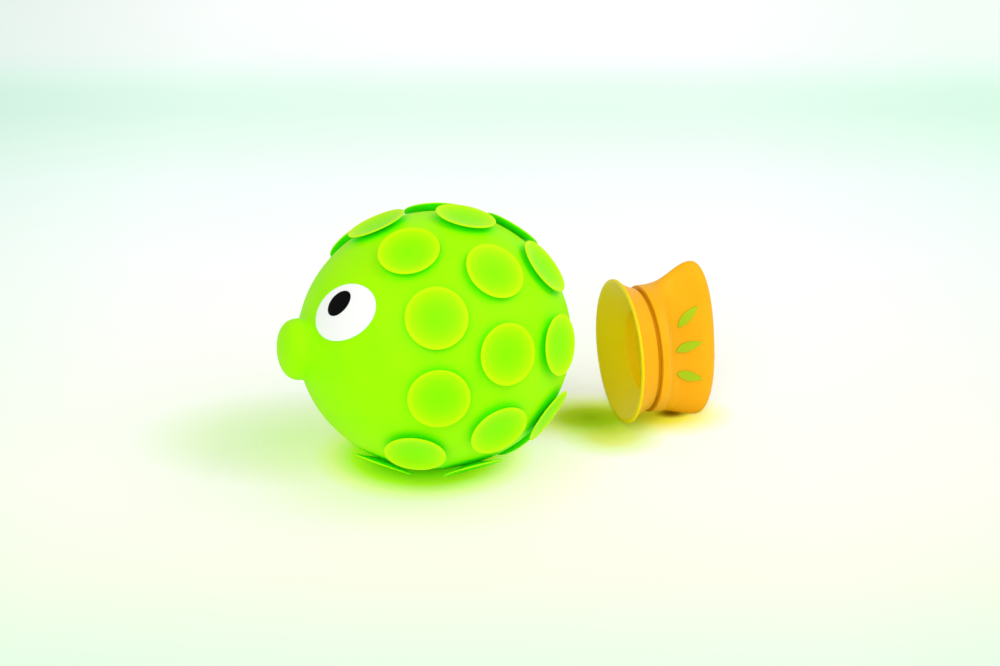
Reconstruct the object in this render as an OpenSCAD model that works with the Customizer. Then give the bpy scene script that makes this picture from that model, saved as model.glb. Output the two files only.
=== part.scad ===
// Squeaky bath toy: a hollow, soft ball shaped as a fish, with suckers all over its back
// two thirds, and a fish tail with a flared cup that pushes on behind.
// The ball stands on one sucker, and the tail lies behind it, taken off.

/* [Ball] */
// Width of the ball across, without its suckers
ball_width = 80; // [64:1:110]
// From the middle of the ball forward to the front of its skin
nose_reach = 44; // [40:0.2:58]
// From the middle of the ball back to the end of its skin
back_reach = 42; // [40:0.2:56]
// Thickness of the skin
skin_wall = 2.2; // [1.4:0.1:3]
// Width of the mouth
mouth_width = 18.8; // [14:0.2:24]
// How far the mouth stands out from the front of the skin
mouth_reach = 7.5; // [6:0.1:11]
// Length of the rounded front of the mouth
mouth_round = 6.2; // [4:0.1:8]
// Tilt of the mouth up from the ball's own axis, in degrees
mouth_lift = 1; // [0:0.5:5]

/* [Suckers] */
// Width of a sucker across its rim
sucker_width = 18.8; // [14:0.1:20]
// How far the rim of a sucker stands off the skin, at its middle
sucker_stand = 1.6; // [1.3:0.1:3]
// Depth of the hollow in the face of a sucker
sucker_hollow = 1; // [0.5:0.05:1.2]
// Width of the flat edge around the hollow
sucker_edge = 0.5; // [0.3:0.05:1]
// Thickness of a sucker at its rim
sucker_lip = 0.5; // [0.3:0.05:0.9]
// Width of a sucker's shoulder, where it lies against the skin
shoulder_width = 7; // [6.4:0.1:10]
// Width of a sucker's stem, through the skin
stem_width = 5; // [3:0.1:6]
// Gap around a fitted piece, such as the stem in its hole
fit_gap = 0.1; // [0.05:0.05:0.2]
// Width of the head that holds the stem inside the skin
head_width = 7; // [6.4:0.1:9]
// Thickness of that head
head_thick = 1.4; // [0.8:0.1:2.4]
// How many suckers the front ring has
front_ring_count = 10; // [8:1:11]
// How many suckers the middle ring has
middle_ring_count = 10; // [8:1:11]
// How many suckers the back ring has
back_ring_count = 8; // [6:1:9]
// Angle of the front ring of suckers from the front of the fish, in degrees
front_ring_angle = 65.6; // [60:0.2:68]
// How much further back the front ring's suckers sit at the fish's sides than halfway up, in degrees
front_ring_bow = 2.9; // [0:0.1:4]
// Angle of the middle ring of suckers
middle_ring_angle = 97.2; // [96:0.2:99]
// Angle of the back ring of suckers
back_ring_angle = 129; // [128:0.2:132]

/* [Eyes] */
// Length of the white of an eye
white_length = 22.8; // [18:0.2:26]
// Width of the white of an eye
white_width = 17.2; // [13:0.2:20]
// Length of a pupil
pupil_length = 9.2; // [6:0.2:12]
// Width of a pupil
pupil_width = 6.6; // [4:0.2:8]
// Thickness of the white, moulded on the skin
white_thick = 0.3; // [0.2:0.05:0.5]
// Thickness of the pupil over the white
pupil_thick = 0.2; // [0.15:0.05:0.4]
// Angle of the white from the front of the fish, in degrees
white_angle = 29.4; // [28:0.2:33]
// Height of the white around the fish, up from its side, in degrees
white_rise = 21; // [16:0.5:28]
// Turn of the white from straight back, in degrees
white_turn = -19; // [-30:1:30]
// Angle of the pupil from the front of the fish, in degrees
pupil_angle = 29.5; // [28:0.1:32]
// Height of the pupil around the fish, up from its side, in degrees
pupil_rise = 29.5; // [25:0.5:34]
// Turn of the pupil from straight back, in degrees
pupil_turn = 3; // [-20:1:30]
// Turn of the whole face around the fish, from a sucker of the front ring, in degrees
face_turn = 18; // [0:1:36]

/* [Squeaker] */
// Width of the squeaker's barrel, in the hole at the back of the ball
squeaker_width = 13; // [11:0.2:16]
// Length of the squeaker
squeaker_length = 9.6; // [8.6:0.2:12]
// Wall of the squeaker's barrel
squeaker_wall = 1.3; // [0.8:0.1:1.6]
// Width of the air hole in the squeaker's outer end
air_hole_width = 4; // [2:0.2:6]
// Width of the flange that holds the squeaker inside the skin
flange_width = 17; // [16.4:0.2:20]
// Thickness of that flange
flange_thick = 1.2; // [0.8:0.1:2]
// Thickness of the cap at the squeaker's inner end
cap_thick = 1.6; // [1:0.1:2.2]
// Length of the reed that makes the noise
reed_length = 7; // [5:0.2:7.6]
// Width of the reed
reed_width = 2.6; // [1.8:0.1:4]
// Thickness of the reed
reed_thick = 0.3; // [0.2:0.05:0.5]
// Gap under the reed, over the slot in the cap
reed_gap = 0.5; // [0.3:0.05:0.8]
// Length of the slot that the air goes through
slot_length = 4.6; // [3:0.1:4.8]
// Width of the slot
slot_width = 1.3; // [0.8:0.1:1.6]
// Length of the block that holds the reed's end
clamp_length = 1.4; // [0.8:0.1:1.4]

/* [Tail] */
// Width of the tail's cup at its rim
rim_width = 47.2; // [42:0.2:50]
// Length of the cup, from its rim back to the groove
cup_length = 6.8; // [6:0.1:9]
// Width of the cup at its back edge
throat_width = 40; // [39.2:0.2:43]
// Length of the yellow lip at the rim
lip_length = 0.9; // [0.5:0.1:1.5]
// Thickness of the rim
rim_wall = 1.2; // [0.8:0.05:1.5]
// Wall of the orange outside of the cup
skirt_wall = 0.8; // [0.6:0.05:1]
// Wall of the yellow lining
lining_wall = 1.2; // [0.8:0.05:1.4]
// Width of the deep well inside the lining
well_width = 26.8; // [24:0.2:28]
// Depth of the cone that the ball sits in, from the rim to the well
cone_depth = 7; // [6.6:0.1:7.6]
// Depth of the whole cup, from its rim to the floor of the well
well_depth = 13.6; // [12:0.2:15]
// Width of the well's floor
well_floor_width = 15; // [10:0.5:20]
// Width of the groove around the neck, across its bottom
groove_width = 38; // [36:0.2:39]
// Length of the groove
groove_length = 1.3; // [0.8:0.1:2]
// Width of the fin's round foot
foot_width = 41.6; // [41:0.2:45]
// Length of that foot
foot_length = 2.4; // [2:0.1:4]
// Whole length of the tail
tail_length = 33; // [30:0.2:40]
// How far the fin's upper tip is from the cup's middle line
fin_top = 27.4; // [24:0.2:30]
// How far its lower tip is from that line
fin_low = 23.8; // [22:0.2:28]
// Where the fin is tallest, from the rim
fin_peak = 25.6; // [23:0.1:27]
// Thickness of the fin there
fin_thick = 8.6; // [7.6:0.2:12]
// Wall of the hollow fin
fin_wall = 1.8; // [1.2:0.1:2.2]
// How many leaf marks each side of the fin has
mark_count = 3; // [1:1:3]
// Length of a leaf mark
mark_length = 9.8; // [7:0.1:10.5]
// Width of a leaf mark
mark_width = 3.2; // [2.2:0.1:4]
// Distance between leaf marks, up the fin
mark_step = 10; // [9:0.1:12]
// Middle of the marks, from the rim
mark_place = 22.7; // [20:0.1:24]
// Lean of the middle mark, in degrees
mark_tilt = 11; // [0:1:30]
// Lean of the upper and lower marks from the middle one, in degrees
mark_lean = 30; // [0:1:45]
// How far the marks stand out of the fin
mark_proud = 0.25; // [0.1:0.05:0.4]
// How deep the marks are let into the fin
mark_sunk = 0.4; // [0.2:0.05:0.6]

/* [Where they lie] */
// From the middle of the ball back to the middle of the cup's rim
tail_behind = 63.7; // [61:0.1:80]
// From the ball's middle line across to the middle of the rim, towards the viewer
tail_aside = -1; // [-10:0.1:10]
// Turn of the tail from the ball's own line, in degrees
tail_turn = 7.8; // [-20:0.1:20]
// Roll of the tail around the cup's middle line, with its top away from the viewer, in degrees
tail_roll = 14.7; // [0:0.1:30]

/* [Hidden] */
// Which sub-part is drawn

// Colours, as the pieces show them
lime = "#99F20A";
pale_lime = "#B8F50A";
eye_white = "#FFFFFF";
eye_black = "#0A0A0C";
orange = "#FFAE17";
yellow = "#E6D306";
leaf_green = "#A6DA1C";
squeaker_white = "#F2F2EC";
reed_grey = "#BFC4C8";

// One overrun for all cuts
overrun = 1;
// Steps around a round piece, along an outline and around the fin
round_steps = 96;
small_round_steps = 48;
outline_steps = 48;
mouth_steps = 10;
hollow_steps = 8;
cup_steps = 8;
fin_steps = 40;
fin_front_steps = 7;
fin_back_steps = 9;

// Half widths
ball_r = ball_width / 2;
mouth_r = mouth_width / 2;
sucker_r = sucker_width / 2;
rim_r = rim_width / 2;
throat_r = throat_width / 2;
well_r = well_width / 2;
groove_r = groove_width / 2;
foot_r = foot_width / 2;
squeaker_r = squeaker_width / 2;

// How square the mouth's rounded end is: 2 is an ellipse
mouth_power = 2.5;
// How much blunter the back end of the white is, as a share of its width
egg_share = 0.02;

// The angle of a sucker around the fish, up from its side that faces the viewer
function front_ring_turn(i) = 90 - 360 * (i - 1) / front_ring_count;
function front_ring_place(i) = front_ring_angle + front_ring_bow * cos(2 * front_ring_turn(i));
function middle_ring_turn(i) = 90 - 360 * (i - 1.5) / middle_ring_count;
function back_ring_turn(i) = 90 - 360 * (i - 1) / back_ring_count;

// The ball stands on one sucker of the middle ring, just past the lowest place:
// it is tilted back and rolled so that this sucker lies flat
standing_sucker = floor(middle_ring_count / 2) + 2;
ball_pitch = skin_face(middle_ring_angle) - 90;
ball_roll = -90 - middle_ring_turn(standing_sucker);
// The skin's distance from the middle in a direction at an angle from the front
function skin_reach(angle) =
    let (reach = angle < 90 ? nose_reach : back_reach)
    1 / sqrt(pow(cos(angle) / reach, 2) + pow(sin(angle) / ball_r, 2));
// The angle from the front that the skin faces there
function skin_face(angle) =
    let (reach = angle < 90 ? nose_reach : back_reach)
    atan2(sin(angle) / pow(ball_r, 2), cos(angle) / pow(reach, 2));
foot_offset = middle_ring_angle - skin_face(middle_ring_angle);
ball_height = skin_reach(middle_ring_angle) * cos(foot_offset) + sucker_stand;

// The suckers' own depths, down from the rim
sucker_back = sucker_stand - fit_gap;
head_top = sucker_stand + skin_wall + (head_width * head_width) / (4 * ball_width) + fit_gap * 2;
hollow_r = sucker_r - sucker_edge;
hollow_curve_r = (hollow_r * hollow_r + sucker_hollow * sucker_hollow) / (2 * sucker_hollow);

// The squeaker, back from the middle of the ball
squeaker_end = back_reach - fit_gap;
squeaker_start = squeaker_end - squeaker_length;
flange_end = skin_inside(flange_width / 2) - fit_gap;
squeaker_bore_r = squeaker_r - squeaker_wall;
// The inside of the skin at a distance from the ball's own axis, back from the middle
function skin_inside(r) =
    (back_reach - skin_wall) * sqrt(1 - pow(r / (ball_r - skin_wall), 2));

// The tail's shape along its axis
flare_power = 1.3;
thin_power = 6;
end_power = 2.3;
thick_end_power = 3;
fin_square = 2.5;
foot_start = cup_length + groove_length;
foot_end = foot_start + foot_length;
lining_mouth_r = rim_r - rim_wall;
neck_r = well_r + lining_wall;
spigot_end = foot_end - fit_gap;
skirt_floor = cup_length - skirt_wall;

// Radius of the cup's outside, and of the lining's cone inside and outside, at a distance from the rim
function cup_r(x) = throat_r + (rim_r - throat_r) * pow(1 - x / cup_length, flare_power);
cone_slope = (lining_mouth_r - well_r) / cone_depth;
cone_wall = lining_wall * sqrt(1 + cone_slope * cone_slope);
function cone_outside(x) =
    min(lining_mouth_r - cone_slope * x + cone_wall, cup_r(x) - skirt_wall - fit_gap);
// Where the cone's outside meets the neck's
cone_foot = (lining_mouth_r + cone_wall - neck_r) / cone_slope;

// Half the fin's height and thickness at a distance from the rim, how far its middle is above the
// cup's, and how square its section is
function fin_share(x) = max(0, min(1, (x - foot_end) / (fin_peak - foot_end)));
function fin_end_share(x, end) = max(0, min(1, (x - fin_peak) / (end - fin_peak)));
function fin_tip(x, end, tip) =
    let (u = fin_share(x), v = fin_end_share(x, end))
    (foot_r + (tip - foot_r) * u * u * (3 - 2 * u)) * pow(1 - pow(v, end_power), 1 / end_power);
function fin_half_height(x, end) = (fin_tip(x, end, fin_top) + fin_tip(x, end, fin_low)) / 2;
function fin_middle(x, end) = (fin_tip(x, end, fin_top) - fin_tip(x, end, fin_low)) / 2;
function fin_half_thick(x, end) =
    let (u = fin_share(x), v = fin_end_share(x, end), slim = fin_thick / 2)
    (slim + (foot_r - slim) * pow(1 - u, thin_power) * (1 + thin_power * u))
        * pow(1 - pow(v, thick_end_power), 1 / end_power);
function fin_power(x) = 2 / (2 + (fin_square - 2) * fin_share(x));
function signed_power(a, p) = sign(a) * pow(abs(a), p);

// One closed ring of points around the fin, grown or shrunk by a distance
function fin_ring(x, grow, end) = [
    for (i = [0:fin_steps - 1])
        let (a = 360 * i / fin_steps)
        [
            x,
            (fin_half_thick(x, end) + grow) * signed_power(cos(a), fin_power(x)),
            fin_middle(x, end) + (fin_half_height(x, end) + grow) * signed_power(sin(a), fin_power(x))
        ]
];

// How the tail lies: its rim and the fin's lower edge, rolled a little, both touch the floor
touch_power = fin_square / (fin_square - 1);
fin_touch = pow(
        pow(fin_thick / 2 * sin(tail_roll), touch_power)
            + pow((fin_top + fin_low) / 2 * cos(tail_roll), touch_power),
        1 / touch_power
    ) - (fin_top - fin_low) / 2 * cos(tail_roll);
tail_tilt = asin((fin_touch - rim_r) / fin_peak);
tail_height = rim_r * cos(tail_tilt);

// The middle of the whole toy's floor space, back from the middle of the ball
front_extent = (nose_reach + mouth_reach) * cos(ball_pitch + mouth_lift);
back_extent = tail_behind + tail_length * cos(tail_turn) * cos(tail_tilt);
middle_back = (back_extent - front_extent) / 2;

// Puts a ball piece, drawn around the ball's middle with its mouth towards -X, where it stands
module stand_ball() {
    translate([-middle_back, 0, ball_height])
        rotate([0, ball_pitch, 0])
            rotate([-ball_roll, 0, 0])
                children();
}

// Puts a tail piece, drawn from the middle of its rim with the fin towards +X, where it lies
module lay_tail() {
    translate([tail_behind - middle_back, -tail_aside, tail_height])
        rotate([0, 0, -tail_turn])
            rotate([0, -tail_tilt, 0])
                rotate([-tail_roll, 0, 0])
                    children();
}

// Turns the mouth or an eye, drawn upright, to where the face is on the ball
module turn_face() {
    rotate([-face_turn, 0, 0])
        children();
}

// Turns a piece so that its +Z points out of the ball and its +X away from the mouth
module face_out(angle, turn) {
    rotate([90 - turn, 0, 0])
        rotate([0, angle - 90, 0])
            children();
}

// Puts a piece on the skin at an angle from the front, with its +Z straight out of the skin there
module on_skin(angle, turn) {
    reach = skin_reach(angle);
    rotate([90 - turn, 0, 0])
        translate([-reach * cos(angle), 0, reach * sin(angle)])
            rotate([0, skin_face(angle) - 90, 0])
                children();
}

// The egg shape of the ball, grown by a distance
module egg(grow) {
    rotate([0, 90, 0])
        rotate_extrude($fn = round_steps)
            polygon([
                for (i = [0:outline_steps])
                    let (a = 180 * i / outline_steps, reach = a < 90 ? nose_reach : back_reach)
                    [(ball_r + grow) * sin(a), -(reach + grow) * cos(a)]
            ]);
}

// The mouth, a short round snout with a softly rounded front
module snout(grow) {
    base = nose_reach / 2;
    shoulder = nose_reach + mouth_reach - mouth_round;
    face_out(mouth_lift, 90)
        rotate_extrude($fn = round_steps)
            polygon(concat(
                [[0, base], [mouth_r + grow, base]],
                [for (i = [0:mouth_steps])
                    let (a = 90 * i / mouth_steps)
                    [
                        (mouth_r + grow) * pow(cos(a), 2 / mouth_power),
                        shoulder + (mouth_round + grow) * pow(sin(a), 2 / mouth_power)
                    ]]
            ));
}

// The round hole that a sucker's stem goes through
module sucker_hole(angle, turn) {
    on_skin(angle, turn)
        translate([0, 0, -head_top])
            cylinder(h = head_top + overrun, r = stem_width / 2 + fit_gap, $fn = small_round_steps);
}

// The hollow moulded skin, with a hole for each sucker and one for the squeaker
module body_skin() {
    color(lime)
        stand_ball()
            difference() {
                union() {
                    egg(0);
                    turn_face() snout(0);
                }
                egg(-skin_wall);
                snout(-skin_wall);
                for (i = [1:front_ring_count])
                    sucker_hole(front_ring_place(i), front_ring_turn(i));
                for (i = [1:middle_ring_count])
                    sucker_hole(middle_ring_angle, middle_ring_turn(i));
                for (i = [1:back_ring_count])
                    sucker_hole(back_ring_angle, back_ring_turn(i));
                translate([squeaker_start, 0, 0])
                    rotate([0, 90, 0])
                        cylinder(h = back_reach, r = squeaker_r + fit_gap, $fn = small_round_steps);
            }
}

// One sucker: a thin disc with a hollow face, a stem through the skin and a head inside it
module sucker(angle, turn) {
    stem_r = stem_width / 2;
    color(pale_lime)
        stand_ball()
            on_skin(angle, turn)
                translate([0, 0, sucker_stand])
                    rotate_extrude($fn = round_steps)
                        polygon(concat(
                            [
                                [0, -head_top - head_thick],
                                [stem_r, -head_top - head_thick],
                                [head_width / 2, -head_top],
                                [stem_r, -head_top],
                                [stem_r, -sucker_back],
                                [shoulder_width / 2, -sucker_back],
                                [sucker_r, -sucker_lip],
                                [sucker_r, 0]
                            ],
                            [for (i = [0:hollow_steps])
                                let (r = hollow_r * (1 - i / hollow_steps))
                                [r, hollow_curve_r - sucker_hollow - sqrt(hollow_curve_r ^ 2 - r ^ 2)]]
                        ));
}

// The outline of an eye's white or pupil, blunter towards the tail by a share of its width
module eye_outline(long, wide, blunt_share) {
    polygon([
        for (i = [0:outline_steps - 1])
            let (a = 360 * i / outline_steps)
            [long / 2 * cos(a), wide / 2 * sin(a) * (1 + blunt_share * cos(a))]
    ]);
}

// A thin patch that follows the skin from one height over it to another
module eye_patch(angle, rise, turn, long, wide, blunt_share, low, high) {
    intersection() {
        difference() {
            egg(high);
            egg(low);
        }
        face_out(angle, rise)
            rotate([0, 0, turn])
                translate([0, 0, ball_r / 2])
                    linear_extrude(height = ball_r)
                        eye_outline(long, wide, blunt_share);
    }
}

// The white of the eye, cut away under the pupil and clear of the mouth
module white_patch() {
    difference() {
        eye_patch(white_angle, white_rise, white_turn, white_length, white_width, egg_share, 0, white_thick);
        pupil_patch();
        snout(fit_gap);
    }
}

// The pupil, let half into the white's thickness
module pupil_patch() {
    eye_patch(
        pupil_angle, pupil_rise, pupil_turn, pupil_length, pupil_width, 0,
        white_thick / 2, white_thick + pupil_thick
    );
}

module eye_white_near() {
    color(eye_white) stand_ball() turn_face() white_patch();
}

module eye_white_far() {
    color(eye_white) stand_ball() turn_face() mirror([0, 1, 0]) white_patch();
}

module pupil_near() {
    color(eye_black) stand_ball() turn_face() pupil_patch();
}

module pupil_far() {
    color(eye_black) stand_ball() turn_face() mirror([0, 1, 0]) pupil_patch();
}

// The squeaker's barrel: a cup that opens into the ball, with an air hole in its outer end
module squeaker_barrel() {
    color(squeaker_white)
        stand_ball()
            rotate([0, 90, 0])
                difference() {
                    union() {
                        translate([0, 0, squeaker_start])
                            cylinder(h = squeaker_length, r = squeaker_r, $fn = small_round_steps);
                        translate([0, 0, flange_end - flange_thick])
                            cylinder(h = flange_thick, r = flange_width / 2, $fn = small_round_steps);
                    }
                    translate([0, 0, squeaker_start - overrun])
                        cylinder(
                            h = squeaker_length - squeaker_wall + overrun,
                            r = squeaker_bore_r,
                            $fn = small_round_steps
                        );
                    translate([0, 0, squeaker_start])
                        cylinder(
                            h = squeaker_length + overrun,
                            r = air_hole_width / 2,
                            $fn = small_round_steps
                        );
                }
}

// The cap at the barrel's inner end, with a slot for the air and a clamp for the reed
module squeaker_cap() {
    color(squeaker_white)
        stand_ball()
            rotate([0, 90, 0])
                difference() {
                    union() {
                        translate([0, 0, squeaker_start])
                            cylinder(h = cap_thick, r = squeaker_bore_r, $fn = small_round_steps);
                        translate([reed_length / 2, -reed_width / 2, squeaker_start])
                            cube([clamp_length, reed_width, cap_thick + reed_gap + reed_thick * 2]);
                    }
                    translate([-slot_length / 2, -slot_width / 2, squeaker_start - overrun])
                        cube([slot_length, slot_width, cap_thick + overrun * 2]);
                }
}

// The reed, a thin strip that flutters over the slot
module squeaker_reed() {
    color(reed_grey)
        stand_ball()
            rotate([0, 90, 0])
                translate([
                    -reed_length / 2,
                    -reed_width / 2,
                    squeaker_start + cap_thick + reed_gap
                ])
                    cube([reed_length - fit_gap, reed_width, reed_thick]);
}

// The closed form of the fin from its foot to its back edge, grown or shrunk by a distance
module fin_form(grow, start) {
    end = tail_length + grow;
    places = concat(
        [start, foot_end],
        [for (i = [1:fin_front_steps]) foot_end + (fin_peak - foot_end) * i / fin_front_steps],
        [for (i = [1:fin_back_steps - 1])
            fin_peak + (end - fin_peak) * sin(90 * i / fin_back_steps)]
    );
    rings = len(places);
    points = concat([for (x = places) each fin_ring(x, grow, end)], [[end, 0, 0]]);
    tip = rings * fin_steps;
    polyhedron(
        points = points,
        faces = concat(
            [[for (i = [0:fin_steps - 1]) i]],
            [for (j = [0:rings - 2]) for (i = [0:fin_steps - 1])
                let (k = (i + 1) % fin_steps, a = j * fin_steps, b = a + fin_steps)
                each [[a + i, b + i, b + k], [a + i, b + k, a + k]]],
            [for (i = [0:fin_steps - 1])
                let (a = (rings - 1) * fin_steps) [a + i, tip, a + (i + 1) % fin_steps]]
        )
    );
}

// A pointed leaf, from two arcs
module leaf_outline() {
    arc_r = (mark_length * mark_length + mark_width * mark_width) / (4 * mark_width);
    intersection() {
        translate([0, arc_r - mark_width / 2])
            circle(r = arc_r, $fn = round_steps);
        translate([0, mark_width / 2 - arc_r])
            circle(r = arc_r, $fn = round_steps);
    }
}

// One leaf, counted from the lowest, as a block through the side of the fin that faces the viewer
module leaf_block(i) {
    place = i - (mark_count + 1) / 2;
    translate([mark_place, 0, place * mark_step])
        rotate([90, 0, 0])
            rotate([0, 0, mark_tilt + place * mark_lean])
                linear_extrude(height = foot_r)
                    leaf_outline();
}

// A leaf mark, let into the near or the far side of the fin
module fin_mark(i, far) {
    color(leaf_green)
        lay_tail()
            mirror([0, far, 0])
                intersection() {
                    leaf_block(i);
                    difference() {
                        fin_form(mark_proud, foot_start);
                        fin_form(-mark_sunk, foot_start - overrun);
                    }
                }
}

// The hollow fin, with a shallow pocket for each leaf
module tail_fin() {
    color(orange)
        lay_tail()
            difference() {
                fin_form(0, foot_start);
                fin_form(-fin_wall, foot_start - overrun);
                for (far = [0, 1])
                    mirror([0, far, 0])
                        difference() {
                            for (i = [1:mark_count])
                                leaf_block(i);
                            fin_form(-mark_sunk, foot_start - overrun);
                        }
            }
}

// The orange outside of the cup, with the neck that the fin's foot grips
module tail_skirt() {
    foot_inner_r = foot_r - fin_wall - fit_gap;
    color(orange)
        lay_tail()
            rotate([0, 90, 0])
                rotate_extrude($fn = round_steps)
                    polygon(concat(
                        [for (i = [0:cup_steps])
                            let (x = lip_length + (cup_length - lip_length) * i / cup_steps)
                            [cup_r(x), x]],
                        [
                            [groove_r, cup_length],
                            [groove_r, foot_start],
                            [foot_inner_r, foot_start],
                            [foot_inner_r, spigot_end],
                            [neck_r + fit_gap, spigot_end],
                            [neck_r + fit_gap, cone_foot + fit_gap],
                            [cone_outside(skirt_floor) + fit_gap * 2, skirt_floor]
                        ],
                        [for (i = [cup_steps:-1:0])
                            let (x = lip_length + (skirt_floor - lip_length) * i / cup_steps)
                            [cup_r(x) - skirt_wall, x]]
                    ));
}

// The yellow lining: the lip, the cone that the ball sits in and the well behind it
module tail_lining() {
    color(yellow)
        lay_tail()
            rotate([0, 90, 0])
                rotate_extrude($fn = round_steps)
                    polygon(concat(
                        [[lining_mouth_r, 0], [rim_r, 0], [rim_r, lip_length]],
                        [for (i = [0:cup_steps])
                            let (x = lip_length + (skirt_floor - fit_gap - lip_length) * i / cup_steps)
                            [cone_outside(x), x]],
                        [
                            [neck_r, cone_foot],
                            [neck_r, foot_end],
                            [well_floor_width / 2, well_depth + lining_wall],
                            [0, well_depth + lining_wall],
                            [0, well_depth],
                            [well_floor_width / 2 - lining_wall, well_depth],
                            [well_r, foot_end],
                            [well_r, cone_depth]
                        ]
                    ));
}

body_skin();
for (i = [1:front_ring_count])
    sucker(front_ring_place(i), front_ring_turn(i));
for (i = [1:middle_ring_count])
    sucker(middle_ring_angle, middle_ring_turn(i));
for (i = [1:back_ring_count])
    sucker(back_ring_angle, back_ring_turn(i));
eye_white_near();
eye_white_far();
pupil_near();
pupil_far();
squeaker_barrel();
squeaker_cap();
squeaker_reed();
tail_fin();
tail_skirt();
tail_lining();
for (i = [1:mark_count]) {
    fin_mark(i, 0);
    fin_mark(i, 1);
}
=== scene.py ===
# Squeaky bath toy: a hollow ball shaped as a fish, with suckers all around it, and a fish tail that
# pushes on behind and lies here taken off. Metres, in the CAD model's frame: +X runs from the mouth to
# the tail, +Z is up, and -Y is the side that faces the camera.
import math

import bpy
import bmesh
from mathutils import Matrix, Vector


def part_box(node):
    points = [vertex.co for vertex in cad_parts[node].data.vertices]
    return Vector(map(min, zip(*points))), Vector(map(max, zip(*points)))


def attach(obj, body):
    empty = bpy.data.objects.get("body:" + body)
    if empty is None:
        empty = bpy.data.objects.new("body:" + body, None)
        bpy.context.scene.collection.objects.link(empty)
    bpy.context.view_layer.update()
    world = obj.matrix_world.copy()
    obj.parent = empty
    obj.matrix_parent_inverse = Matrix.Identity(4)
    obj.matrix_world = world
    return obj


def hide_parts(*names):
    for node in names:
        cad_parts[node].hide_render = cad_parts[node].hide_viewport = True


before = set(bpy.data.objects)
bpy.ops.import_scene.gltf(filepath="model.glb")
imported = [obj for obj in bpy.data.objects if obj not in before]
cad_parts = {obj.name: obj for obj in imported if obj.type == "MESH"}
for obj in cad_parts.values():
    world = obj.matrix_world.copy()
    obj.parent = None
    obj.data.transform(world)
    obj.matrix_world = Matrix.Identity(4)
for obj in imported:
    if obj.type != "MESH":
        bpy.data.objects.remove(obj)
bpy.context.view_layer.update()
scene = bpy.context.scene
mm = 0.001

# How the ball stands. It rests on the flat rim of one sucker of the middle ring, so it is tilted back
# until the skin faces straight down there, and rolled by half the suckers' spacing. The face, its
# mouth and eyes, is turned a little further than the rows of suckers.
ball_r = 40 * mm
nose_reach = 44 * mm
back_reach = 42 * mm
sucker_stand = 1.6 * mm
middle_ring_angle = math.radians(97.2)
ball_roll = math.radians(18)


def skin_reach(angle):
    """The skin's distance from the ball's middle, at an angle from the front of the fish."""
    reach = nose_reach if angle < math.pi / 2 else back_reach
    return 1 / math.hypot(math.cos(angle) / reach, math.sin(angle) / ball_r)


def skin_face(angle):
    """The angle from the front of the fish that the skin faces there."""
    reach = nose_reach if angle < math.pi / 2 else back_reach
    return math.atan2(math.sin(angle) / ball_r ** 2, math.cos(angle) / reach ** 2)


def along_axis(piece_place, angle, turn):
    """Turns a place around the fish, then from straight up to an angle from its front."""
    return (
        piece_place
        @ Matrix.Rotation(math.pi / 2 - turn, 4, "X")
        @ Matrix.Rotation(angle - math.pi / 2, 4, "Y")
    )


foot_low, foot_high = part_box("sucker_middle_7")
foot_lean = middle_ring_angle - skin_face(middle_ring_angle)
ball_middle = (foot_low + foot_high) / 2
ball_middle.x -= skin_reach(middle_ring_angle) * math.sin(foot_lean)
ball_middle.z = skin_reach(middle_ring_angle) * math.cos(foot_lean) + sucker_stand
ball_place = (
    Matrix.Translation(ball_middle)
    @ Matrix.Rotation(skin_face(middle_ring_angle) - math.pi / 2, 4, "Y")
    @ Matrix.Rotation(-ball_roll, 4, "X")
)
face_turn = math.radians(18)
face_place = ball_place @ Matrix.Rotation(-face_turn, 4, "X")


# The camera looks down at the toy from its near side, past the mouth, through a long lens.
# Its turn and height come from where the suckers lie in the photograph.
camera_turn = math.radians(23.8)
camera_height = math.radians(27)
camera_distance = 0.7
camera_right = 19.4 * mm
camera_up = 2 * mm
sensor_width = 36
lens_length = 81

bpy.ops.object.select_all(action="DESELECT")
bpy.ops.object.camera_add(rotation=(math.pi / 2 - camera_height, 0, -camera_turn))
camera = bpy.context.object
camera.name = "camera"
camera.data.sensor_width = sensor_width
camera.data.lens = lens_length
camera.location = ball_middle + camera.rotation_euler.to_matrix() @ Vector(
    (camera_right, camera_up, camera_distance)
)
scene.camera = camera


# The skin: one blow-moulded shell of soft lime-green vinyl, an egg of revolution that is a little
# longer in front. The short round mouth is moulded on with a soft fillet, and a round hole behind
# takes the squeaker. The wall is 2.2 mm thick.
skin_wall = 2.2 * mm
mouth_r = 9.4 * mm
mouth_reach = 7.5 * mm
mouth_round = 6.2 * mm
mouth_power = 2.5
mouth_steps = 12
mouth_lift = math.radians(1)
mouth_root_ring = 9
fillet_steps = 6
squeaker_r = 6.5 * mm
hole_ring = 5
fit_gap = 0.1 * mm
skin_segments = 128
skin_rings = 96
smooth_angle = math.radians(40)
facing_front = Matrix.Rotation(-math.pi / 2, 4, "Y")


def pick(piece, is_wanted):
    """Selects the vertices that a test on their place accepts, and no others, in edit mode."""
    mesh = bmesh.from_edit_mesh(piece.data)
    for vertex in mesh.verts:
        vertex.select_set(is_wanted(vertex.co))
    mesh.select_flush(True)
    mesh.select_flush(False)
    bmesh.update_edit_mesh(piece.data)


def pull_ring(start, profile):
    """Extrudes the selected ring about the Z axis along a profile of (radius, height) points."""
    radius, height = start
    for next_radius, next_height in profile:
        bpy.ops.mesh.extrude_region_move(
            TRANSFORM_OT_translate={"value": (0, 0, next_height - height)}
        )
        share = next_radius / radius
        bpy.ops.transform.resize(
            value=(share, share, 1), center_override=(0, 0, next_height)
        )
        radius, height = next_radius, next_height


def close_ring():
    """Draws the selected ring together into one point."""
    bpy.ops.mesh.merge(type="CENTER")


def egg_height(radius, reach):
    """How far along the fish the skin is at a distance from its own axis."""
    return reach * math.sqrt(1 - (radius / ball_r) ** 2)


def radius_of(point):
    """A point's distance from the piece's own axis."""
    return math.hypot(point.x, point.y)


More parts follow.
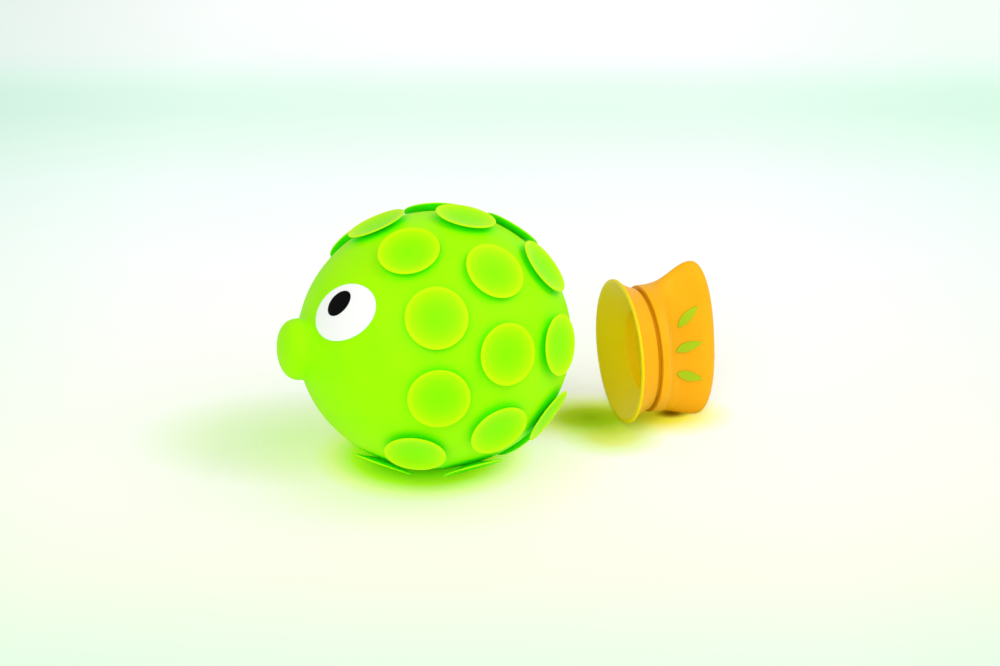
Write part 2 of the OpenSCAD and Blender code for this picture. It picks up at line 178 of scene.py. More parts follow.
def mouth_profile(root_r):
    """The fillet, the straight side and the rounded front of the mouth."""
    root = (root_r, egg_height(root_r, nose_reach))
    slope = (nose_reach / ball_r) ** 2 * root_r / root[1]
    corner = (mouth_r, root[1] + (root_r - mouth_r) * slope)
    side = (mouth_r, corner[1] + root_r - mouth_r)
    shoulder = nose_reach + mouth_reach - mouth_round
    points = []
    for i in range(1, fillet_steps + 1):
        t = i / fillet_steps
        points.append(tuple(
            (1 - t) ** 2 * a + 2 * t * (1 - t) * b + t ** 2 * c
            for a, b, c in zip(root, corner, side)
        ))
    for i in range(mouth_steps):
        turn = math.pi / 2 * i / mouth_steps
        points.append((
            mouth_r * math.cos(turn) ** (2 / mouth_power),
            shoulder + mouth_round * math.sin(turn) ** (2 / mouth_power),
        ))
    return root, points


def set_down(piece, name, place, body, slot, *nodes):
    """Puts a finished piece in its place and lets it stand for its CAD nodes."""
    piece.name = name
    piece.data.name = name
    piece.data.transform(place)
    piece.matrix_world = Matrix.Identity(4)
    bpy.ops.object.select_all(action="DESELECT")
    piece.select_set(True)
    bpy.context.view_layer.objects.active = piece
    bpy.ops.object.shade_smooth_by_angle(angle=smooth_angle)
    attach(piece, body)
    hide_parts(*nodes)
    return piece


bpy.ops.object.select_all(action="DESELECT")
bpy.ops.mesh.primitive_uv_sphere_add(segments=skin_segments, ring_count=skin_rings, radius=ball_r)
skin = bpy.context.object
bpy.ops.object.mode_set(mode="EDIT")
pick(skin, lambda point: point.z > 0)
bpy.ops.transform.resize(value=(1, 1, nose_reach / ball_r), center_override=(0, 0, 0))
pick(skin, lambda point: point.z < 0)
bpy.ops.transform.resize(value=(1, 1, back_reach / ball_r), center_override=(0, 0, 0))

mouth_root_r = ball_r * math.sin(math.pi * mouth_root_ring / skin_rings)
pick(skin, lambda point: point.z > 0 and radius_of(point) < mouth_root_r - fit_gap)
bpy.ops.mesh.delete(type="VERT")
pick(skin, lambda point: point.z > 0 and radius_of(point) < mouth_root_r + fit_gap)
mouth_root, mouth_points = mouth_profile(mouth_root_r)
pull_ring(mouth_root, mouth_points)
close_ring()

hole_ring_r = ball_r * math.sin(math.pi * hole_ring / skin_rings)
pick(skin, lambda point: point.z < 0 and radius_of(point) < hole_ring_r - fit_gap)
bpy.ops.mesh.delete(type="VERT")
pick(skin, lambda point: point.z < 0 and radius_of(point) < hole_ring_r + fit_gap)
hole_share = (squeaker_r + fit_gap) / hole_ring_r
bpy.ops.transform.resize(value=(hole_share, hole_share, 1), center_override=(0, 0, 0))
bpy.ops.mesh.select_all(action="SELECT")
bpy.ops.mesh.normals_make_consistent(inside=False)
bpy.ops.object.mode_set(mode="OBJECT")

# The mouth is tilted up over the first third of its length.
lift_length = (nose_reach + mouth_reach - mouth_root[1]) / 3
for vertex in skin.data.vertices:
    share = min(1, max(0, (vertex.co.z - mouth_root[1]) / lift_length))
    if share > 0 and radius_of(vertex.co) < mouth_root_r:
        vertex.co = Matrix.Rotation(mouth_lift * share, 3, "Y") @ vertex.co

wall = skin.modifiers.new("wall", "SOLIDIFY")
wall.thickness = skin_wall
wall.offset = -1
wall.use_even_offset = True
bpy.ops.object.modifier_apply(modifier=wall.name)
set_down(skin, "skin", face_place @ facing_front, "root", "skin", "body_skin")


# Soft vinyl: plasticised PVC from a smooth mould. It is satin, lets a little light in, green light
# deepest and blue hardly at all, and shows faint clouding of its colour and the very slight waviness
# of a blown wall. The skin is the purest lime of the toy, and painted shade turns it greener in its
# folds.
clouding_size = 14 * mm
waviness_size = 5 * mm
waviness_height = 0.03 * mm
painted_shade_reach = 20 * mm


def linear(hex_code):
    """An sRGB hex colour as the linear values that a shader takes."""
    channels = [int(hex_code[i:i + 2], 16) / 255 for i in (1, 3, 5)]
    return [c / 12.92 if c <= 0.04045 else ((c + 0.055) / 1.055) ** 2.4 for c in channels] + [1]


def add_node(material, kind, settings, links):
    """Adds one node, with its sockets and properties set and its inputs linked."""
    node = material.node_tree.nodes.new(kind)
    for name, value in settings.items():
        if name in node.inputs:
            node.inputs[name].default_value = value
        else:
            setattr(node, name, value)
    for name, socket in links.items():
        material.node_tree.links.new(socket, node.inputs[name])
    return node


def new_material(name):
    """A material with its plain surface node."""
    material = bpy.data.materials.new(name)
    material.use_nodes = True
    return material, material.node_tree.nodes["Principled BSDF"]


def paint_shade_in_creases(material, shade_socket, painted_fold_shade):
    """Multiplies a colour by a painted shade that grows where other surfaces stand close, and puts it on
    the surface. It stands in for light that has gone to and fro between two walls of vinyl and comes out
    in a deeper shade."""
    openness = add_node(
        material, "ShaderNodeAmbientOcclusion", {"samples": 8, "Distance": painted_shade_reach}, {}
    )
    tint = add_node(material, "ShaderNodeValToRGB", {}, {"Fac": openness.outputs["AO"]})
    tint.color_ramp.elements[0].position = 0.2
    tint.color_ramp.elements[0].color = linear(painted_fold_shade)
    tint.color_ramp.elements[1].position = 0.85
    tint.color_ramp.elements[1].color = (1, 1, 1, 1)
    deeper = add_node(material, "ShaderNodeVectorMath", {"operation": "MULTIPLY"}, {})
    tree = material.node_tree
    tree.links.new(shade_socket, deeper.inputs[0])
    tree.links.new(tint.outputs["Color"], deeper.inputs[1])
    tree.links.new(deeper.outputs["Vector"], tree.nodes["Principled BSDF"].inputs["Base Color"])


def cloud_colour(material, shade, deep_shade):
    """A colour that clouds from its own shade to a slightly deeper one."""
    place = add_node(material, "ShaderNodeTexCoord", {}, {})
    clouds = add_node(
        material, "ShaderNodeTexNoise",
        {"Scale": 1 / clouding_size, "Detail": 2, "Roughness": 0.5},
        {"Vector": place.outputs["Object"]},
    )
    shades = add_node(material, "ShaderNodeValToRGB", {}, {"Fac": clouds.outputs["Fac"]})
    shades.color_ramp.elements[0].position = 0.3
    shades.color_ramp.elements[1].position = 0.7
    shades.color_ramp.elements[0].color = linear(shade)
    shades.color_ramp.elements[1].color = linear(deep_shade)
    return shades.outputs["Color"]


def soft_vinyl(name, roughness, shine, glow):
    """Slightly wavy vinyl that scatters some light inside. It gets its colour afterwards."""
    material, surface = new_material(name)
    place = add_node(material, "ShaderNodeTexCoord", {}, {})
    waves = add_node(
        material, "ShaderNodeTexNoise",
        {"Scale": 1 / waviness_size, "Detail": 1},
        {"Vector": place.outputs["Object"]},
    )
    bump = add_node(
        material, "ShaderNodeBump",
        {"Strength": 0.5, "Distance": waviness_height},
        {"Height": waves.outputs["Fac"]},
    )
    material.node_tree.links.new(bump.outputs["Normal"], surface.inputs["Normal"])
    surface.inputs["Roughness"].default_value = roughness
    surface.inputs["IOR"].default_value = 1.53
    surface.inputs["Specular IOR Level"].default_value = shine
    surface.inputs["Subsurface Weight"].default_value = glow
    surface.inputs["Subsurface Radius"].default_value = (1.6, 2.4, 0.3)
    surface.inputs["Subsurface Scale"].default_value = 1 * mm
    return material


lime_vinyl = soft_vinyl("moulded soft vinyl lime", roughness=0.5, shine=0.04, glow=0.3)
paint_shade_in_creases(lime_vinyl, cloud_colour(lime_vinyl, "#AAFF00", "#A0FF00"), "#80FFFF")
skin.data.materials.append(lime_vinyl)


# The suckers: thin discs of softer, paler vinyl with a shallow hollow face. Each has a stem that is
# pushed through a hole in the skin and a head that holds it inside. Their thin rims let more light
# through, so they look yellower than their middles, and that yellow is painted light in their colour.
sucker_r = 9.4 * mm
sucker_hollow = 1 * mm
sucker_edge = 0.5 * mm
sucker_lip = 0.5 * mm
shoulder_r = 3.5 * mm
stem_r = 2.5 * mm
head_r = 3.5 * mm
head_top = 4.15 * mm
head_thick = 1.4 * mm
merge_gap = 0.001 * mm
front_ring_count = 10
middle_ring_count = 10
back_ring_count = 8
front_ring_angle = math.radians(65.6)
front_ring_bow = math.radians(2.9)
back_ring_angle = math.radians(129)
sucker_segments = 64
hollow_steps = 8
back_steps = 5
back_power = 1.5
lip_steps = 4


def sucker_profile():
    """From the middle of the hollow face over the rim and down the back to the head's end."""
    hollow_r = sucker_r - sucker_edge
    back_low = sucker_stand - fit_gap
    lip_half = sucker_lip / 2
    points = []
    for i in range(1, hollow_steps + 1):
        share = i / hollow_steps
        points.append((hollow_r * share, -sucker_hollow * (1 - share ** 2)))
    for i in range(lip_steps + 1):
        turn = math.pi / 2 - math.pi * i / lip_steps
        points.append((
            sucker_r - lip_half + lip_half * math.cos(turn),
            -lip_half + lip_half * math.sin(turn),
        ))
    for i in range(1, back_steps + 1):
        share = i / back_steps
        points.append((
            sucker_r - lip_half - (sucker_r - lip_half - shoulder_r) * share,
            -sucker_lip - (back_low - sucker_lip) * share ** back_power,
        ))
    points += [
        (stem_r, -back_low),
        (stem_r, -head_top),
        (head_r, -head_top),
        (stem_r, -head_top - head_thick),
    ]
    return points


def turn_piece(profile, segments, closed):
    """Turns a profile of (radius, height) points about the Z axis. A closed profile ends where it began,
    and any other one is drawn together at both ends."""
    bpy.ops.object.select_all(action="DESELECT")
    bpy.ops.mesh.primitive_circle_add(
        vertices=segments,
        radius=profile[0][0],
        location=(0, 0, 0),
        fill_type="NOTHING" if closed else "TRIFAN",
    )
    piece = bpy.context.object
    bpy.ops.object.mode_set(mode="EDIT")
    bpy.ops.transform.translate(value=(0, 0, profile[0][1]))
    pick(piece, lambda point: radius_of(point) > profile[0][0] / 2)
    pull_ring(profile[0], profile[1:] + (profile[:1] if closed else []))
    if not closed:
        close_ring()
    bpy.ops.mesh.select_all(action="SELECT")
    bpy.ops.mesh.remove_doubles(threshold=merge_gap)
    bpy.ops.mesh.normals_make_consistent(inside=False)
    bpy.ops.object.mode_set(mode="OBJECT")
    return piece


def map_across(piece, radius):
    """Gives the piece a UV map whose U runs from 0 in the middle to 1 at a radius."""
    layer = piece.data.uv_layers.new(name="across")
    for loop in piece.data.loops:
        point = piece.data.vertices[loop.vertex_index].co
        layer.data[loop.index].uv = (radius_of(point) / radius, 0.5)


# Softer vinyl, a little smoother than the skin: green in the middle, and yellow at the thin rim from
# painted light.
sucker_vinyl = soft_vinyl("moulded soft vinyl sucker lime", roughness=0.45, shine=0.04, glow=0.3)
across = add_node(sucker_vinyl, "ShaderNodeUVMap", {"uv_map": "across"}, {})
across_share = add_node(
    sucker_vinyl, "ShaderNodeSeparateXYZ", {}, {"Vector": across.outputs["UV"]}
)
painted_rim_light = add_node(
    sucker_vinyl, "ShaderNodeValToRGB", {}, {"Fac": across_share.outputs["X"]}
)
painted_rim_light.color_ramp.elements[0].color = linear("#8CFF00")
painted_rim_light.color_ramp.elements[1].color = linear("#CCFF02")
for share, shade in ((0.5, "#9AFF00"), (0.8, "#B2FF00"), (0.93, "#C8FF02")):
    painted_rim_light.color_ramp.elements.new(share).color = linear(shade)
# Painted shade greens the suckers where the skin and the other suckers stand close.
paint_shade_in_creases(sucker_vinyl, painted_rim_light.outputs["Color"], "#80FFFF")

first_sucker = turn_piece(sucker_profile(), sucker_segments, False)
map_across(first_sucker, sucker_r)
first_sucker.data.materials.append(sucker_vinyl)

# How many suckers a ring has, which place in it is straight up, and its angle from the fish's front
rings = {
    "front": (front_ring_count, 1, front_ring_angle),
    "middle": (middle_ring_count, 1.5, middle_ring_angle),
    "back": (back_ring_count, 1, back_ring_angle),
}
for ring, (count, first, ring_angle) in rings.items():
    for number in range(1, count + 1):
        turn = math.pi / 2 - 2 * math.pi * (number - first) / count
        bow = front_ring_bow * math.cos(2 * turn) if ring == "front" else 0
        angle = ring_angle + bow
        reach = skin_reach(angle)
        place = (
            ball_place
            @ Matrix.Rotation(math.pi / 2 - turn, 4, "X")
            @ Matrix.Translation((-reach * math.cos(angle), 0, reach * math.sin(angle)))
            @ Matrix.Rotation(skin_face(angle) - math.pi / 2, 4, "Y")
            @ Matrix.Translation((0, 0, sucker_stand))
        )
        sucker = first_sucker.copy()
        sucker.data = first_sucker.data.copy()
        scene.collection.objects.link(sucker)
        node = f"sucker_{ring}_{number}"
        set_down(sucker, node.replace("_", "-"), place, "root", "sucker", node)
bpy.data.objects.remove(first_sucker)


# The eyes: an egg-shaped white and a black pupil, printed in two thick, flat layers of ink on the
# skin. They lie on the curve of the skin and have crisp edges.
white_length = 22.8 * mm
white_width = 17.2 * mm
white_blunt_share = 0.02
white_thick = 0.3 * mm
pupil_length = 9.2 * mm
pupil_width = 6.6 * mm
pupil_thick = 0.5 * mm
patch_rings = 10
outline_points = 72
peel_size = 0.9 * mm
peel_height = 0.01 * mm

# From the front of the fish, up from its side, and turned on the skin, in degrees
white_angles = (29.4, 21, -19)
pupil_angles = (29.5, 29.5, 3)


def face_out(angles):
    """A place outside the skin that looks straight away from the ball's middle, with its +X away from
    the mouth."""
    angle, rise, turn = (math.radians(degrees) for degrees in angles)
    return (
        along_axis(face_place, angle, rise)
        @ Matrix.Rotation(turn, 4, "Z")
        @ Matrix.Translation((0, 0, ball_r + mouth_reach))
    )


def lay_patch(outline, place, surface, thick):
    """Lays a sheet with an outline onto a surface, along its own -Z, and gives it a thickness."""
    bpy.ops.object.select_all(action="DESELECT")
    bpy.ops.mesh.primitive_circle_add(vertices=len(outline), radius=1)
    patch = bpy.context.object
    for vertex, (x, y) in zip(patch.data.vertices, outline):
        vertex.co = (x, y, 0)
    bpy.ops.object.mode_set(mode="EDIT")
    bpy.ops.mesh.select_all(action="SELECT")
    for i in range(1, patch_rings):
        share = (patch_rings - i) / (patch_rings - i + 1)
        bpy.ops.mesh.extrude_region_move()
        bpy.ops.transform.resize(value=(share, share, 1), center_override=(0, 0, 0))
    close_ring()
    bpy.ops.object.mode_set(mode="OBJECT")
    if patch.data.polygons[0].normal.z < 0:
        patch.data.flip_normals()
    patch.matrix_world = place
    wrap = patch.modifiers.new("wrap", "SHRINKWRAP")
    wrap.wrap_method = "PROJECT"
    wrap.target = surface
    wrap.use_project_z = True
    wrap.use_negative_direction = True
    wrap.use_positive_direction = False
    layer = patch.modifiers.new("layer", "SOLIDIFY")
    layer.thickness = thick
    layer.offset = 1
    edge = patch.modifiers.new("edge", "BEVEL")
    edge.width = thick / 3
    edge.segments = 3
    edge.limit_method = "ANGLE"
    edge.angle_limit = math.radians(50)
    for modifier in (wrap, layer, edge):
        bpy.ops.object.modifier_apply(modifier=modifier.name)
    return patch


def eye_outline(length, width, blunt_share):
    """An ellipse whose back end is blunter by a share of its width."""
    turns = [2 * math.pi * i / outline_points for i in range(outline_points)]
    return [
        (length / 2 * math.cos(a), width / 2 * math.sin(a) * (1 + blunt_share * math.cos(a)))
        for a in turns
    ]


def even_finish(name, shade, roughness):
    """One even colour with next to no shine and a very fine orange peel, as printed ink and moulded
    plastic have it."""
    material, surface = new_material(name)
    place = add_node(material, "ShaderNodeTexCoord", {}, {})
    peel = add_node(
        material, "ShaderNodeTexNoise",
        {"Scale": 1 / peel_size, "Detail": 2},
        {"Vector": place.outputs["Object"]},
    )
    bump = add_node(
        material, "ShaderNodeBump",
        {"Strength": 0.3, "Distance": peel_height},
        {"Height": peel.outputs["Fac"]},
    )
    material.node_tree.links.new(bump.outputs["Normal"], surface.inputs["Normal"])
    surface.inputs["Base Color"].default_value = linear(shade)
    surface.inputs["Roughness"].default_value = roughness
    surface.inputs["IOR"].default_value = 1.5
    surface.inputs["Specular IOR Level"].default_value = 0.03
    return material


# Screen-printed ink: dense, so that no lime shows through the white and the black is deep.
white_ink = even_finish("printed ink white", "#FCFCFA", 0.45)
black_ink = even_finish("printed ink black", "#050506", 0.5)
white_shape = eye_outline(white_length, white_width, white_blunt_share)
pupil_shape = eye_outline(pupil_length, pupil_width, 0)
for side, mirror_y in (("near", 1), ("far", -1)):
    flip = face_place @ Matrix.Diagonal((1, mirror_y, 1, 1)) @ face_place.inverted()
    white = lay_patch(white_shape, face_out(white_angles), skin, white_thick)
    pupil = lay_patch(pupil_shape, face_out(pupil_angles), skin, pupil_thick)
    for piece, ink, slot in ((white, white_ink, "eye_white"), (pupil, black_ink, "pupil")):
        piece.data.transform(piece.matrix_world)
        piece.data.transform(flip)
        if mirror_y < 0:
            piece.data.flip_normals()
        piece.matrix_world = Matrix.Identity(4)
        piece.data.materials.append(ink)
        set_down(piece, f"{slot}-{side}", Matrix.Identity(4), "root", slot, f"{slot}_{side}")


# The squeaker: a small white polypropylene barrel pressed into the hole behind, with an air hole in
# its outer end, a flange inside the skin, and a cap with a thin plastic reed at its inner end.
squeaker_length = 9.6 * mm
squeaker_wall = 1.3 * mm
air_hole_r = 2 * mm
flange_r = 8.5 * mm
flange_thick = 1.2 * mm
squeaker_chamfer = 0.3 * mm
barrel_segments = 64
facing_back = Matrix.Rotation(math.pi / 2, 4, "Y")

squeaker_end = back_reach - fit_gap
squeaker_start = squeaker_end - squeaker_length
flange_end = egg_height(flange_r, back_reach - skin_wall) - fit_gap
barrel_profile = [
    (air_hole_r, squeaker_end - squeaker_wall),
    (air_hole_r, squeaker_end - squeaker_chamfer),
    (air_hole_r + squeaker_chamfer, squeaker_end),
    (squeaker_r - squeaker_chamfer, squeaker_end),
    (squeaker_r, squeaker_end - squeaker_chamfer),
    (squeaker_r, flange_end),
    (flange_r, flange_end),
    (flange_r, flange_end - flange_thick),
    (squeaker_r, flange_end - flange_thick),
    (squeaker_r, squeaker_start),
    (squeaker_r - squeaker_wall, squeaker_start),
    (squeaker_r - squeaker_wall, squeaker_end - squeaker_wall),
]
barrel = turn_piece(barrel_profile, barrel_segments, True)

# Moulded polypropylene: milky white, because a little light goes into it.
barrel_plastic = even_finish("moulded polypropylene white", "#F2F2EC", 0.4)
barrel_surface = barrel_plastic.node_tree.nodes["Principled BSDF"]
barrel_surface.inputs["Subsurface Weight"].default_value = 0.1
barrel_surface.inputs["Subsurface Scale"].default_value = 1 * mm
barrel.data.materials.append(barrel_plastic)
set_down(barrel, "squeaker-barrel", ball_place @ facing_back, "root", "squeaker", "squeaker_barrel")

# Rolled polyester film: an even grey, smoother than the cap under it.
reed_film = even_finish("rolled polyester film grey", "#BFC4C7", 0.3)
for node, material in (("squeaker_cap", barrel_plastic), ("squeaker_reed", reed_film)):
    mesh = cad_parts[node].data
    mesh.materials.clear()
    mesh.materials.append(material)


# The tail's cup: an orange outside that flares to the rim, moulded over a yellow lining. The lining
# shows as the lip around the rim, as the cone that the ball sits in and as the deeper well. A narrow
# groove parts the cup from the fin. The tail lies on its rim and on the fin's lower edge.
rim_r = 23.6 * mm
cup_length = 6.8 * mm
throat_r = 20 * mm
lip_length = 0.9 * mm
rim_wall = 1.2 * mm
skirt_wall = 0.8 * mm
lining_wall = 1.2 * mm
cone_depth = 7 * mm
well_r = 13.4 * mm
well_depth = 13.6 * mm
well_floor_r = 7.5 * mm
floor_middle_r = 0.2 * mm
groove_r = 19 * mm
groove_length = 1.3 * mm
foot_r = 20.8 * mm
foot_length = 2.4 * mm
fin_wall = 1.8 * mm
flare_power = 1.3
cup_steps = 10
cup_segments = 128
edge_round = 0.35 * mm
tail_behind = 63.7 * mm
tail_aside = -1 * mm
tail_turn = math.radians(7.8)
tail_roll = math.radians(14.7)
fin_top = 27.4 * mm
fin_low = 23.8 * mm
fin_peak = 25.6 * mm
fin_half_thick = 4.3 * mm
fin_square = 2.5

foot_start = cup_length + groove_length
foot_end = foot_start + foot_length
foot_inner_r = foot_r - fin_wall
neck_r = well_r + lining_wall
skirt_floor = cup_length - skirt_wall
mouth_of_cone_r = rim_r - rim_wall
cone_slope = (mouth_of_cone_r - well_r) / cone_depth
cone_wall = lining_wall * math.hypot(1, cone_slope)
cone_foot = (mouth_of_cone_r + cone_wall - neck_r) / cone_slope

# The rolled fin's lower edge and the cup's rim both touch the floor.
touch_power = fin_square / (fin_square - 1)
fin_touch = (
    (fin_half_thick * math.sin(tail_roll)) ** touch_power
    + ((fin_top + fin_low) / 2 * math.cos(tail_roll)) ** touch_power
) ** (1 / touch_power) - (fin_top - fin_low) / 2 * math.cos(tail_roll)
tail_tilt = math.asin((fin_touch - rim_r) / fin_peak)
tail_place = (
    Matrix.Translation((ball_middle.x + tail_behind, -tail_aside, rim_r * math.cos(tail_tilt)))
    @ Matrix.Rotation(-tail_turn, 4, "Z")
    @ Matrix.Rotation(-tail_tilt, 4, "Y")
    @ Matrix.Rotation(-tail_roll, 4, "X")
)


def cup_radius(height):
    """Radius of the cup's outside at a distance from its rim."""
    return throat_r + (rim_r - throat_r) * (1 - height / cup_length) ** flare_power


def cone_outside(height):
    """Radius of the lining's cone outside, which the orange cup holds."""
    return min(
        mouth_of_cone_r - cone_slope * height + cone_wall,
        cup_radius(height) - skirt_wall - fit_gap,
    )


def round_edges(piece, width, angle):
    """Rounds the sharp edges of a turned piece, as a mould leaves them."""
    edge = piece.modifiers.new("edge", "BEVEL")
    edge.width = width
    edge.segments = 3
    edge.limit_method = "ANGLE"
    edge.angle_limit = math.radians(angle)
    bpy.ops.object.modifier_apply(modifier=edge.name)


def from_lip(end):
    """Evenly spaced distances from the rim, from the lip's edge to an end."""
    return [lip_length + (end - lip_length) * i / cup_steps for i in range(cup_steps + 1)]


skirt_profile = [(cup_radius(height), height) for height in from_lip(cup_length)] + [
    (groove_r, cup_length),
    (groove_r, foot_start),
    (foot_inner_r - fit_gap, foot_start),
    (foot_inner_r - fit_gap, foot_end - fit_gap),
    (neck_r + fit_gap, foot_end - fit_gap),
    (neck_r + fit_gap, cone_foot + fit_gap),
    (cone_outside(skirt_floor) + fit_gap * 2, skirt_floor),
] + [(cup_radius(height) - skirt_wall, height) for height in reversed(from_lip(skirt_floor))]
skirt = turn_piece(skirt_profile, cup_segments, True)
round_edges(skirt, edge_round, 50)

# The tail's orange is denser than the lime, so it glows less, and painted shade deepens its orange in the
# folds.
orange_vinyl = soft_vinyl("moulded soft vinyl orange", roughness=0.42, shine=0.08, glow=0.2)
paint_shade_in_creases(orange_vinyl, cloud_colour(orange_vinyl, "#FFB617", "#FDB010"), "#D8E0A8")
skirt.data.materials.append(orange_vinyl)
set_down(skirt, "tail-skirt", tail_place @ facing_back, "tail", "tail", "tail_skirt")

lining_profile = [
    (floor_middle_r, well_depth),
    (well_floor_r - lining_wall, well_depth),
    (well_r, foot_end),
    (well_r, cone_depth),
    (mouth_of_cone_r, 0),
    (rim_r, 0),
    (rim_r, lip_length),
] + [(cone_outside(height), height) for height in from_lip(skirt_floor - fit_gap)] + [
    (neck_r, cone_foot),
    (neck_r, foot_end),
    (well_floor_r, well_depth + lining_wall),
]
lining = turn_piece(lining_profile, cup_segments, False)
round_edges(lining, edge_round, 25)

# The lining's yellow is the same in its folds as outside them.
yellow_vinyl = soft_vinyl("moulded soft vinyl yellow", roughness=0.45, shine=0.1, glow=0.2)
yellow_vinyl.node_tree.links.new(
    cloud_colour(yellow_vinyl, "#FFD806", "#FFD204"),
    yellow_vinyl.node_tree.nodes["Principled BSDF"].inputs["Base Color"],
)
lining.data.materials.append(yellow_vinyl)
set_down(lining, "tail-lining", tail_place @ facing_back, "tail", "lining", "tail_lining")


# The fin: one hollow moulding in the same orange vinyl. It starts as a round foot that grips the
# cup's neck, and draws in to a thin blade that widens to its tips and ends in a rounded edge.
tail_length = 33 * mm
hollow_gap = 3 * mm
tip_gap = 0.01 * mm
corner_share = 0.3
thin_power = 6
end_power = 2.3
thick_end_power = 3
front_steps = 12
end_steps = 16
fin_segments = 96


def fin_share(height):
    """How far the fin has grown from its round foot to its full height."""
    return min(1, max(0, (height - foot_end) / (fin_peak - foot_end)))


def fin_section(height, inset):
    """Half the fin's height and thickness at a distance from the rim, drawn in by an inset, and how
    far its middle is above the cup's."""
    u = fin_share(height)
    v = min(1, max(0, (height - fin_peak) / (tail_length - inset - fin_peak)))
    top, low = (
        (foot_r + (tip - foot_r) * u * u * (3 - 2 * u)) * (1 - v ** end_power) ** (1 / end_power)
        for tip in (fin_top, fin_low)
    )
    thick = fin_half_thick + (foot_r - fin_half_thick) * (1 - u) ** thin_power * (1 + thin_power * u)
    return (
        (top + low) / 2 - inset,
        thick * (1 - v ** thick_end_power) ** (1 / end_power) - inset,
        (top - low) / 2,
    )


def pull_fin(heights, height, radius, inset):
    """Extrudes the selected ring from a round start through the sections at the given heights. Up
    along the fin is the piece's own -X."""
    tall, thick, middle = radius, radius, 0
    for next_height in heights:
        next_tall, next_thick, next_middle = fin_section(next_height, inset)
        bpy.ops.mesh.extrude_region_move(
            TRANSFORM_OT_translate={"value": (middle - next_middle, 0, next_height - height)}
        )
        bpy.ops.transform.resize(
            value=(next_tall / tall, next_thick / thick, 1),
            center_override=(-next_middle, 0, next_height),
        )
        height, tall, thick, middle = next_height, next_tall, next_thick, next_middle


def square_up(point):
    """Moves a point of the fin from an ellipse onto the slightly squarer section of the blade."""
    tall, thick, middle = fin_section(min(point.z, tail_length - tip_gap), 0)
    power = 2 / (2 + (fin_square - 2) * fin_share(point.z))
    x, y = (point.x + middle) / tall, point.y / thick
    rim = math.hypot(x, y)
    if rim > 0.001:
        point.x = rim * tall * math.copysign(abs(x / rim) ** power, x) - middle
        point.y = rim * thick * math.copysign(abs(y / rim) ** power, y)


def fin_heights(inset):
    """Distances from the rim, evenly spaced over the blade's front and closer towards its end."""
    front = [foot_end + (fin_peak - foot_end) * i / front_steps for i in range(front_steps + 1)]
    end = [
        fin_peak + (tail_length - inset - fin_peak) * math.sin(math.pi / 2 * i / end_steps)
        for i in range(1, end_steps)
    ]
    return front + end


bpy.ops.object.select_all(action="DESELECT")
bpy.ops.mesh.primitive_circle_add(vertices=fin_segments, radius=foot_r - edge_round)
fin = bpy.context.object
bpy.ops.object.mode_set(mode="EDIT")
bpy.ops.mesh.select_all(action="SELECT")
bpy.ops.transform.translate(value=(0, 0, foot_start))
pull_ring((foot_r - edge_round, foot_start), [
    (foot_r - edge_round * corner_share, foot_start + edge_round * corner_share),
    (foot_r, foot_start + edge_round),
])
pull_fin(fin_heights(0), foot_start + edge_round, foot_r, 0)
close_ring()
pick(fin, lambda point: point.z < foot_start + fit_gap / 2)
pull_ring((foot_r - edge_round, foot_start), [(foot_inner_r, foot_start)])
inner_heights = [height for height in fin_heights(fin_wall) if height < tail_length - hollow_gap]
pull_fin(inner_heights, foot_start, foot_inner_r, fin_wall)
close_ring()
bpy.ops.mesh.select_all(action="SELECT")
bpy.ops.mesh.normals_make_consistent(inside=False)
bpy.ops.object.mode_set(mode="OBJECT")
for vertex in fin.data.vertices:
    square_up(vertex.co)
fin.data.materials.append(orange_vinyl)
set_down(fin, "tail-fin", tail_place @ facing_back, "tail", "tail", "tail_fin")


# The leaf marks: three pointed leaves on each side of the fin, spread like a fan. Each is a separate
# pad of green vinyl that is set into a shallow pocket and stands a quarter of a millimetre proud.
mark_length = 9.8 * mm
mark_width = 3.2 * mm
mark_step = 10 * mm
mark_place = 22.7 * mm
mark_tilt = math.radians(11)
mark_lean = math.radians(30)
mark_proud = 0.25 * mm
mark_blunt_share = 0.2
arc_r = (mark_length ** 2 + mark_width ** 2) / (4 * mark_width)

# The leaves' green is duller than the skin's lime, and just as satin, with a faint painted shade in their
# folds.
leaf_vinyl = soft_vinyl("moulded soft vinyl leaf green", roughness=0.45, shine=0.1, glow=0.2)
paint_shade_in_creases(leaf_vinyl, cloud_colour(leaf_vinyl, "#B4D818", "#A9D014"), "#F0FFF0")


def leaf_outline():
    """Two arcs that meet in a point at each end, fuller towards the end nearer the cup."""
    points = []
    for i in range(outline_points):
        turn = 2 * math.pi * i / outline_points
        along = mark_length / 2 * math.cos(turn)
        across = math.sqrt(arc_r ** 2 - along ** 2) - (arc_r - mark_width / 2)
        blunt = 1 - mark_blunt_share * math.cos(turn)
        points.append((along, math.copysign(across * blunt, math.sin(turn))))
    return points


for side, mirror_y in (("near", 1), ("far", -1)):
    for number in (1, 2, 3):
        step = number - 2
        place = (
            tail_place
            @ Matrix.Diagonal((1, mirror_y, 1, 1))
            @ Matrix.Translation((mark_place, 0, step * mark_step))
            @ Matrix.Rotation(math.pi / 2, 4, "X")
            @ Matrix.Rotation(mark_tilt + step * mark_lean, 4, "Z")
            @ Matrix.Translation((0, 0, foot_r))
        )
        leaf = lay_patch(leaf_outline(), place, fin, mark_proud)
        leaf.data.transform(leaf.matrix_world)
        leaf.matrix_world = Matrix.Identity(4)
        if mirror_y < 0:
            leaf.data.flip_normals()
        leaf.data.materials.append(leaf_vinyl)
        set_down(
            leaf, f"leaf-{side}-{number}", Matrix.Identity(4), "tail", "leaf", f"fin_mark_{side}_{number}"
        )


# The studio: a white paper sweep in soft light from the right and above. To the camera it is white
# with a faint mint tint, with painted shade that deepens it towards its sides and in one soft band far
# behind the toy, and it carries painted shadows of the ball and the tail and painted glows of the light
# through the vinyl around the ball and under the tail.
table_width = 6
paper_lit_share = 0.6
paper_glow = 0.48

bpy.ops.object.select_all(action="DESELECT")
bpy.ops.mesh.primitive_plane_add(size=table_width, location=(0, 0, 0))
table = bpy.context.object
table.name = "table"

